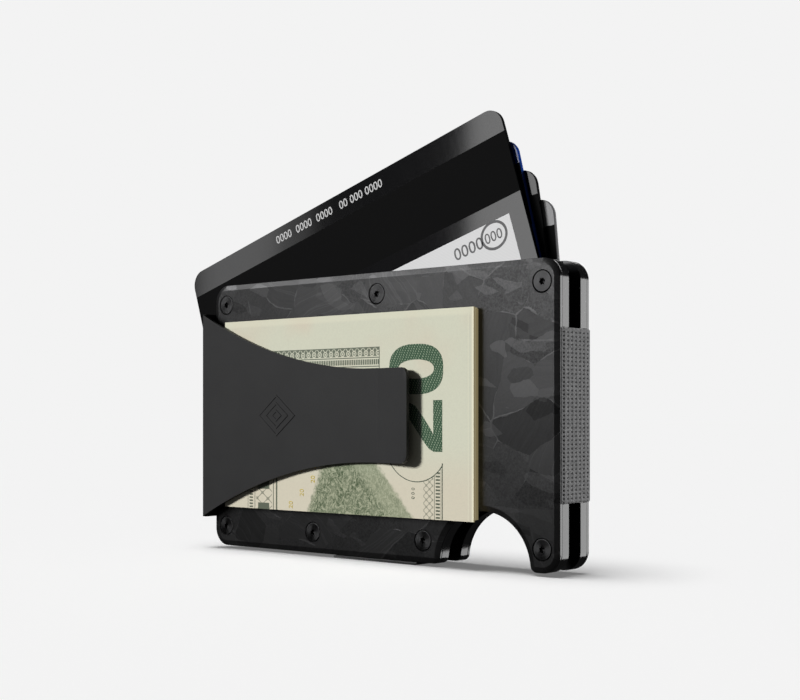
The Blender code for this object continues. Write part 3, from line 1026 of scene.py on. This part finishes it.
def folded_sheet(number, near, far, right):
    """One banknote folded between two depths, its fold at the right."""
    rng = random.Random(number)
    paper = 0.045
    radius = (far - near) / 2 - paper
    middle = from_depth((near + far) / 2)
    fold = right - radius - paper
    left = NOTES_X[0] + 0.5 * number * rng.random()
    low = NOTES_Z[0] + (0.1 + 0.3 * rng.random() if number else 0)
    high = NOTES_Z[1] - (0.1 + 0.3 * rng.random() if number else 0)
    steps = 40
    legs = [left + (fold - left) * i / steps for i in range(steps + 1)]
    path = [((x, middle - radius), (0, -1)) for x in legs]
    for i in range(1, 12):
        angle = math.radians(-90 + 15 * i)
        out = (math.cos(angle), math.sin(angle))
        path.append(((fold + radius * out[0], middle + radius * out[1]), out))
    back = left + 0.6 * rng.random()
    returns = [fold - (fold - back) * i / steps for i in range(steps + 1)]
    path += [((x, middle + radius), (0, 1)) for x in returns]
    rows = []
    bands = 24
    for (x, y), (nx, ny) in path:
        outer = []
        inner = []
        for j in range(bands + 1):
            z = low + (high - low) * j / bands
            ripple = 0.014 * noise.noise((x * 0.11, number * 5, z * 0.13))
            outer.append((x + nx * paper, y + ripple + ny * paper, z))
            inner.append((x - nx * paper, y + ripple - ny * paper, z))
        rows.append(outer + inner[::-1])
    bm = bmesh.new()
    solid(bm, rows)
    made = add(f"banknote_{number + 1}", finish_mesh(bm, "banknote"))
    made.data.shade_smooth()
    made.data.set_sharp_from_angle(angle=math.radians(40))
    paint(made, NOTE_PRINT if number == 0 else NOTE_PAPER)
    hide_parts("banknotes")
    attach(made, "banknotes")


def note_numeral():
    """A big plain 20 that reads upwards, printed beside the oval."""
    bm = bmesh.new()
    near = from_depth(NOTES_DEPTH[0] - PRINT_HEIGHT)
    far = from_depth(NOTES_DEPTH[0] + 0.03)

    def ring(reach, power):
        points = []
        for i in range(72):
            angle = math.tau * i / 72
            c, s = math.cos(angle), math.sin(angle)
            x = reach[0] * math.copysign(abs(c) ** (2 / power), c)
            z = reach[1] * math.copysign(abs(s) ** (2 / power), s)
            points.append((12.9 + x, 8.47 + z))
        return points

    outer = ring((6.38, 4.6), 2.6)
    inner = ring((4.25, 1.75), 2.2)
    loops = [(outer, far), (outer, near), (inner, near), (inner, far)]
    ring_body(bm, [[(x, y, z) for x, z in loop] for loop, y in loops])

    # The 2 lies on its side: its foot, then its slant and its bowl
    stroke(bm, [(18.02, 2.78), (18.02, -6.55)], 2.06, near, far)
    bowl = arc(9.6, -0.9, 2.3, 250, 80, 14)
    slant = [(17.6, -6.2), (16.9, -5.4), (15.2, -3.2), (13.4, -0.9), (11.9, 0.7)]
    sweep = slant + bowl[::-1]
    widths = [1.1, 2.2] + [2.75] * (len(sweep) - 2)
    stroke(bm, sweep, widths, near + 0.002, far)
    finish_print(add("note_numeral", finish_mesh(bm, "note_numeral")), NOTE_GREEN)


def finish_print(made, finish):
    paint(made, finish)
    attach(made, "banknotes")


def note_lines():
    """The oval's arc and the rules beside the ladder borders."""
    bm = bmesh.new()
    near = from_depth(NOTES_DEPTH[0] - PRINT_HEIGHT)
    far = from_depth(NOTES_DEPTH[0] + 0.03)
    stroke(bm, arc(13.0, -4.6, 7.5, 190, 326, 40), 0.16, near, far)
    stroke(bm, [(19.05, -8.6), (19.05, NOTES_Z[0] + 0.05)], 0.16, near, far)
    stroke(bm, [(4.06, 12.9), (4.06, 8.4)], 0.14, near, far)
    finish_print(add("note_lines", finish_mesh(bm, "note_lines")), NOTE_INK)


def note_small_digits():
    """Rows of tiny yellow 20s and a short control number, reading upwards."""
    y = from_depth(NOTES_DEPTH[0] - PRINT_HEIGHT / 2)
    spots = [(-18.6, -18.4), (-15.6, -15.9), (-12.6, -13.2), (-16.0, -11.2), (-12.4, -10.4)]
    rows = [(f"note_yellow_{i}", "20", 1.1, spot, NOTE_YELLOW) for i, spot in enumerate(spots, 1)]
    rows.append(("note_control", "0 0 0", 0.75, (12.6, -15.3), NOTE_INK))
    for name, text, height, (x, z), finish in rows:
        made = digits(name, text, height, finish)
        made.location = Vector((x, y, z + CENTRE_Z)) * METRE
        made.rotation_euler = (0, math.radians(-90), 0)
        finish_print(made, finish)


def paper_tone(g, place, x, z):
    """Cream paper with a green and a peach cast and fibres, painted highlights along the fold and
    below the top edge, and an ochre tint painted at the fold for its shaded side and the light inside
    the paper.
    """
    cast = g.noise(place, 0.06, 2.0)
    low = z.step(-4.0, -14.0)
    peach = either(cast.step(0.5, 0.72), low * 0.85)
    tone = g.mix(peach, PAPER_GREEN, PAPER_PEACH)
    fibre = g.noise(place, 3.5, 4.0, 0.7)
    tone = g.mix(fibre.step(0.3, 0.75, 0.0, 0.16), tone, (0.42, 0.41, 0.33))
    # Painted highlights: lighter lines along the fold and a lighter band below the top edge
    painted_highlight = either(x.inside(24.85, 25.0, 0.12), x.inside(25.6, 26.02, 0.12))
    painted_highlight = either(painted_highlight, z.step(17.6, 18.3, 0.0, 0.6))
    tone = g.mix(painted_highlight * 0.65, tone, (0.79, 0.77, 0.6))
    # Painted shade and glow: the fold tinted darker ochre for its shaded side and the light inside the
    # paper
    fold = x.step(NOTES_X[1] - 0.22, NOTES_X[1] - 0.1)
    return g.mix(fold * 0.75, tone, PAINTED_FOLD_OCHRE), fibre


def note_coordinates(g):
    """The place on the notes, and its X and height in millimetres."""
    place = g.place()
    x, y, z = g.axes(place)
    x = x * (1 / METRE)
    z = z * (1 / METRE) - CENTRE_Z
    return place, x, z


def painted_fold_glow(g, x, tone):
    """A glow painted on the paper at its turned edge: an emission that stands in for light through the
    thin paper.
    """
    warm = g.mix(0.55, tone, PAINTED_FOLD_OCHRE)
    g.set(Emission_Color=warm, Emission_Strength=x.step(25.65, 26.05, 0.0, 0.28))


def plain_note_paper():
    g = Graph("note_paper")
    place, x, z = note_coordinates(g)
    tone, fibre = paper_tone(g, place, x, z)
    g.set(Base_Color=tone, Roughness=0.82, Normal=g.bump(fibre, 0.01, 0.3))
    # Painted glow along the notes' fold
    painted_fold_glow(g, x, tone)
    return g.material


def printed_note_paper():
    """The note's face: engraved borders and an engraved mass of short strokes."""
    g = Graph("note_print")
    place, x, z = note_coordinates(g)
    tone, fibre = paper_tone(g, place, x, z)

    # Upper border: pale petals on a grey-green field over a ladder
    width = x.inside(-40.0, 4.0)
    turn = g.math("FRACT", x * (1 / 1.5)) - 0.5
    turn = turn * 1.5
    height = z - 11.7
    bud = g.length(turn, height)
    petals = abs(bud - 0.46).step(0.07, 0.15, 1.0, 0.0)
    petals = either(petals, bud.step(0.16, 0.24, 1.0, 0.0))
    slant = (z - 12.0) * 0.9
    leaf = abs(abs(turn) - slant)
    petals = either(petals, leaf.step(0.06, 0.13, 1.0, 0.0) * z.step(12.0, 12.15))
    field = z.inside(11.15, 12.75) * width
    upper = field * (0.92 - petals * 0.85)
    ladder = z.inside(9.55, 10.55) * width * x.wave(0.46).step(0.15, 0.35)
    rules = z.inside(10.8, 10.97, 0.03) + z.inside(9.13, 9.3, 0.03)
    rules = rules + z.inside(8.75, 8.87, 0.03)
    rules = (rules + z.inside(12.7, 12.86, 0.03)) * width

    # Right border: a ladder with a lace beside it, below the oval's field
    from_oval = g.length(x - 13.0, z + 4.6)
    below = from_oval.step(7.55, 7.65) * z.step(-4.6, -5.0)
    bars = x.inside(17.55, 18.55) * z.wave(0.62).step(0.4, 0.6)
    sides = x.inside(17.2, 17.32, 0.03) + x.inside(18.72, 18.8, 0.03)
    curl = abs(z.wave(1.3) - x.wave(1.5))
    curls = x.inside(14.7, 17.0) * curl.step(0.3, 0.12)
    right = either(bars, sides, curls * 0.6) * below

    # Left border: a ladder, a frame with dark tablets, and its outer rule
    foot = z.step(-9.0, -9.4)
    left_bars = x.inside(-30.9, -29.9) * z.wave(0.62).step(0.4, 0.6)
    tablets = x.inside(-28.4, -25.2) * z.wave(4.6, 1.2).step(0.62, 0.7)
    weft = abs(z.wave(2.3) - x.wave(3.1))
    scrolls = x.inside(-28.9, -24.4) * weft.step(0.18, 0.08)
    rails = [(-31.4, -31.28), (-29.4, -29.25), (-24.1, -23.9), (-23.3, -22.9)]
    frames = either(*[x.inside(low, high) for low, high in rails])
    left = either(left_bars, tablets, scrolls * 0.7, frames) * foot

    # The engraved mass: short curling strokes within a soft arch
    slope = z + 9.5
    low_x = slope * 0.4 - 10.9
    high_x = slope * -0.9 + 3.9
    ragged = (g.noise(place, 1.2, 3.0) - 0.5) * 2.0
    past_low = (x - low_x + ragged).step(-0.4, 1.0)
    past_high = (high_x - x + ragged).step(-0.5, 0.8)
    mass = past_low * past_high * z.step(-4.0, -5.0)
    turned = g.stir(place, place, 0.35, 3.0, 2.0)
    curls = g.noise(g.vector("MULTIPLY", turned, (1.0, 1.0, 0.6)), 2.3, 3.0, 0.75)
    curls = curls.step(0.37, 0.55, 0.08, 1.0)
    clumps = g.noise(place, 0.45, 2.0).step(0.35, 0.65, 0.72, 1.0)
    dots = g.noise(place, 3.6, 2.0, 0.6).step(0.35, 0.6, 0.6, 1.0)
    pale = (high_x - x).step(5.2, 7.0, 0.55, 1.0)
    hair = mass * curls * clumps * dots * pale

    lines = either(upper, ladder, rules, right, left)
    wash = g.mix(mass * 0.56, tone, (0.24, 0.31, 0.17))
    printed = g.mix(hair * 0.95, wash, HAIR_GREEN)
    printed = g.mix(lines * 0.88, printed, LINE_GREEN)
    g.set(Base_Color=printed, Roughness=0.78, Normal=g.bump(fibre, 0.01, 0.3))
    # Painted glow along the notes' fold
    painted_fold_glow(g, x, tone)
    return g.material


def numeral_green():
    """Green ink with a fine woven screen showing the paper between its lines."""
    g = Graph("note_green")
    place, x, z = note_coordinates(g)
    wobble = g.noise(place, 0.5, 2.0) * 0.7
    first = (x + z + wobble).wave(0.58)
    second = (x - z * 0.45 + wobble).wave(0.66)
    gaps = (first * second).step(0.35, 0.7)
    speckle = g.noise(place, 3.5, 3.0)
    green = g.mix(speckle, (0.025, 0.068, 0.036), (0.065, 0.125, 0.073))
    g.set(Base_Color=g.mix(gaps * 0.65, green, (0.4, 0.48, 0.34)), Roughness=0.7)
    return g.material


# ------------------------------------------------------------------- cards


def card(number, face_finish, stripe_finish):
    """A rounded card whose front face is cut along its magnetic stripe."""
    outline = rounded_rectangle(CARD_WIDTH / 2, CARD_HEIGHT / 2, CARD_RADIUS, 12)
    bm = slab(outline, -CARD_THICKNESS / 2, CARD_THICKNESS / 2)
    made = add(f"card_{number}_shape", finish_mesh(bm, "card", 0))
    round_edges(made, 0.05, 2, 30)
    cut_up = bmesh.new()
    cut_up.from_mesh(made.data)
    for height in STRIPE:
        everything = cut_up.verts[:] + cut_up.edges[:] + cut_up.faces[:]
        place = (0, 0, height * METRE)
        bmesh.ops.bisect_plane(cut_up, geom=everything, plane_co=place, plane_no=(0, 0, 1))
    cut_up.to_mesh(made.data)
    cut_up.free()
    paint(made, face_finish, stripe_finish)
    low, high = (height * METRE for height in STRIPE)
    for polygon in made.data.polygons:
        on_front = polygon.normal.y < -0.99
        polygon.material_index = 1 if on_front and low < polygon.center.z < high else 0
    made.data.shade_smooth()
    for polygon in made.data.polygons:
        polygon.use_smooth = abs(polygon.normal.y) < 0.99
    place_on_card(made, number, 0, 0, 0)
    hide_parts(f"card_{number}")
    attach(made, f"card_{number}")


def place_on_card(obj, number, u, v, proud):
    """Put an object at (u, v) on a card's front face, turned with the card."""
    lean, x, z = CARD_POSES[number - 1]
    tilt = math.radians(lean)
    free = (CARD_GAP - 4 * CARD_THICKNESS) / 5
    y = -CARD_GAP / 2 + free * number + CARD_THICKNESS * (number - 0.5) - proud
    px = x + u * math.cos(tilt) - v * math.sin(tilt)
    pz = z + u * math.sin(tilt) + v * math.cos(tilt)
    obj.location = Vector((px, y, pz + CENTRE_Z)) * METRE
    obj.rotation_euler = (0, -tilt, 0)


def print_on_card(obj, number, u, v):
    place_on_card(obj, number, u, v, CARD_THICKNESS / 2 + PRINT_HEIGHT / 2)
    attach(obj, f"card_{number}")


def first_card_print():
    """The signature panel with sample digits, a ring, and a line of zeros."""
    bm = bmesh.new()
    left, right, low, high = SIGNATURE
    extrude(bm, [(left, 0, low), (right, 0, low), (right, 0, high), (left, 0, high)], (0, -0.006, 0))
    panel = add("signature_panel", finish_mesh(bm, "signature_panel", 0))
    paint(panel, SIGNATURE_PAPER)
    print_on_card(panel, 1, 0, 0)
    code = digits("signature_digits", "0000", 2.3, CARD_INK, 0.015)
    code.scale = (1.08, 1, 1)
    print_on_card(code, 1, 25.7, 3.75)
    inner_code = digits("oval_digits", "000", 1.95, CARD_INK, 0.01)
    print_on_card(inner_code, 1, 33.0, 4.05)
    bm = bmesh.new()
    turns = [math.tau * i / 64 for i in range(65)]
    ring = [(2.75 * math.cos(turn), 2.4 * math.sin(turn)) for turn in turns]
    stroke(bm, ring, 0.5, -PRINT_HEIGHT, PRINT_HEIGHT / 2)
    oval = add("digit_oval", finish_mesh(bm, "digit_oval", 0))
    paint(oval, CARD_INK)
    print_on_card(oval, 1, 35.2, 5.05)
    line = digits("service_digits", "0000  0000  0000   00 000 0000", 1.66, CARD_WHITE, 0.02)
    print_on_card(line, 1, -16.4, 23.9)


# ------------------------------------------------------------------- stage


def camera():
    """The view the scene is framed for, level with the plates and to their right."""
    data = bpy.data.cameras.new("camera")
    data.sensor_width = 36
    data.lens = 61.03
    data.shift_y = 0.08125
    data.clip_start = 0.01
    made = add("camera", data)
    made.location = (0.17037, -0.19725, CENTRE_Z * METRE + 0.000087)
    made.rotation_euler = (math.radians(90), 0, math.radians(40.195))
    bpy.context.scene.camera = made


def floor_link(lamp, only):
    """Let a lamp light only the floor, or everything but the floor."""
    receivers = bpy.data.collections.new(lamp.name + "_receivers")
    receivers.objects.link(bpy.data.objects["floor"])
    lamp.light_linking.receiver_collection = receivers
    state = "INCLUDE" if only else "EXCLUDE"
    receivers.collection_objects[0].light_linking.link_state = state


def panel(name, centre, size, radiance, aim):
    """A soft panel of a given radiance that shows in glossy surfaces."""
    data = bpy.data.lights.new(name, "AREA")
    data.shape = "RECTANGLE"
    data.size, data.size_y = size
    data.energy = radiance * math.pi * size[0] * size[1]
    made = add(name, data)
    made.location = centre
    away = Vector(centre) - Vector(aim)
    made.rotation_euler = away.to_track_quat("Z", "Y").to_euler()
    made.visible_camera = False
    made.visible_diffuse = False
    floor_link(made, False)


def sun(name, azimuth, elevation, strength, spread, only_floor):
    """A soft distant lamp for matt surfaces; azimuth counts from the front, leftward."""
    data = bpy.data.lights.new(name, "SUN")
    data.energy = strength
    data.angle = math.radians(spread)
    made = add(name, data)
    turn = math.radians(azimuth)
    rise = math.radians(elevation)
    away = Vector((-math.sin(turn) * math.cos(rise), -math.cos(turn) * math.cos(rise), math.sin(rise)))
    made.rotation_euler = away.to_track_quat("Z", "Y").to_euler()
    made.visible_glossy = False
    floor_link(made, only_floor)


def world():
    """A pale studio: even light for matt surfaces, darkness for reflections."""
    made = bpy.data.worlds.new("studio")
    bpy.context.scene.world = made
    made.use_nodes = True
    tree = made.node_tree
    back = tree.nodes["Background"]
    path = tree.nodes.new("ShaderNodeLightPath")
    shown = tree.nodes.new("ShaderNodeMix")
    shown.data_type = "FLOAT"
    shown.inputs["A"].default_value = AMBIENT
    shown.inputs["B"].default_value = BACKGROUND
    tree.links.new(path.outputs["Is Camera Ray"], shown.inputs["Factor"])
    dark = tree.nodes.new("ShaderNodeMix")
    dark.data_type = "FLOAT"
    dark.inputs["B"].default_value = REFLECTED
    tree.links.new(path.outputs["Is Glossy Ray"], dark.inputs["Factor"])
    tree.links.new(shown.outputs["Result"], dark.inputs["A"])
    tree.links.new(dark.outputs["Result"], back.inputs["Strength"])
    back.inputs["Color"].default_value = (1, 1, 1, 1)


def floor():
    """A seamless pale floor, as bright as the backdrop where nothing shades it."""
    bm = bmesh.new()
    bmesh.ops.create_grid(bm, x_segments=8, y_segments=8, size=6000)
    made = add("floor", finish_mesh(bm, "floor", 0))
    g = Graph("floor")
    grain = g.noise(g.place(), 0.01, 2.0)
    pale, paler = ((FLOOR_GREY + change,) * 3 for change in (-0.002, 0.002))
    g.set(Base_Color=g.mix(grain, pale, paler), Roughness=1.0, Specular_IOR_Level=0.0)
    g.set(Emission_Color=(1, 1, 1), Emission_Strength=FLOOR_GLOW)
    paint(made, g.material)
    made.visible_glossy = False
    made.visible_diffuse = False


camera()
world()
floor()

CARBON = forged_carbon()
EDGE = shell_edge()
STEEL = screw_steel()
COAT = powder_coat()
WEBBING = webbing("webbing", (0.14, 0.14, 0.142), (0.3, 0.3, 0.302))
# The same webbing darkened as painted shade for the bottom band
PAINTED_SHADE_WEBBING = webbing("webbing_dark", (0.02, 0.02, 0.0202), (0.05, 0.05, 0.0505))
NOTE_PAPER = plain_note_paper()
NOTE_PRINT = printed_note_paper()
NOTE_GREEN = numeral_green()
NOTE_INK = ink("note_ink", (0.05, 0.07, 0.05), (0.09, 0.12, 0.085))
NOTE_YELLOW = ink("note_yellow", (0.55, 0.42, 0.06), (0.66, 0.52, 0.12))
SIGNATURE_PAPER = signature_paper()
CARD_INK = ink("card_ink", (0.1, 0.1, 0.102), (0.15, 0.15, 0.152))
CARD_WHITE = ink("card_white", (0.5, 0.5, 0.5), (0.6, 0.6, 0.6))
CARD_FACES = [
    card_gloss("card_black_gloss", (0.006, 0.006, 0.0065)),
    card_gloss("card_blue_gloss", (0.01, 0.045, 0.25)),
    card_gloss("card_dark_gloss", (0.01, 0.01, 0.0105)),
    card_gloss("card_silver_gloss", (0.17, 0.17, 0.174), 0.2),
]
MAGNETIC = magnetic_stripe()

screw = screw_mesh()
for side_name, side, body in (("front", FRONT, "front_shell"), ("rear", REAR, "rear_shell")):
    outer_plate(side_name, side, body)
    inner_plate(side_name, side, body)
    add_screws(side_name, side, body, screw)

right_band()
bottom_band()
left_band()
spring_clip()
clip_emblem()

for number, (near, far, right) in enumerate(SHEETS):
    folded_sheet(number, near, far, right)
note_numeral()
note_lines()
note_small_digits()

for number, face in enumerate(CARD_FACES, start=1):
    card(number, face, MAGNETIC)
first_card_print()

sun("key", 46, 18, 4.4, 11, False)
sun("side_key", -150, 12, 3.9, 20, False)
sun("floor_key", 50, FLOOR_SUN_RISE, FLOOR_SUN, 34, True)
# The side panel shows in the plates' sides, the card panels in the first card,
# the high one in the front plate and the back one in the rear plate
panel("side_panel", (0.5, 0.72, -0.07), (0.36, 0.52), 3.3, (0.043, 0, -0.07))
panel("card_panel_right", (-0.42, -0.8, 0.22), (0.335, 0.3), 3.55, (-0.42, 0, 0.22))
panel("card_panel_left", (-0.9, -0.8, 0.19), (0.13, 0.24), 1.0, (-0.9, 0, 0.19))
panel("card_panel_fade", (-0.88, -0.81, 0.19), (0.17, 0.24), 0.75, (-0.88, 0, 0.19))
panel("high_panel", (-0.66, -0.62, 0.5), (0.5, 0.3), 3.6, (0, 0, 0.05))
panel("back_panel", (-0.15, 1.0, 0.32), (0.55, 0.35), 2.5, (0, 0, 0.04))
bpy.context.scene.view_settings.view_transform = "Standard"
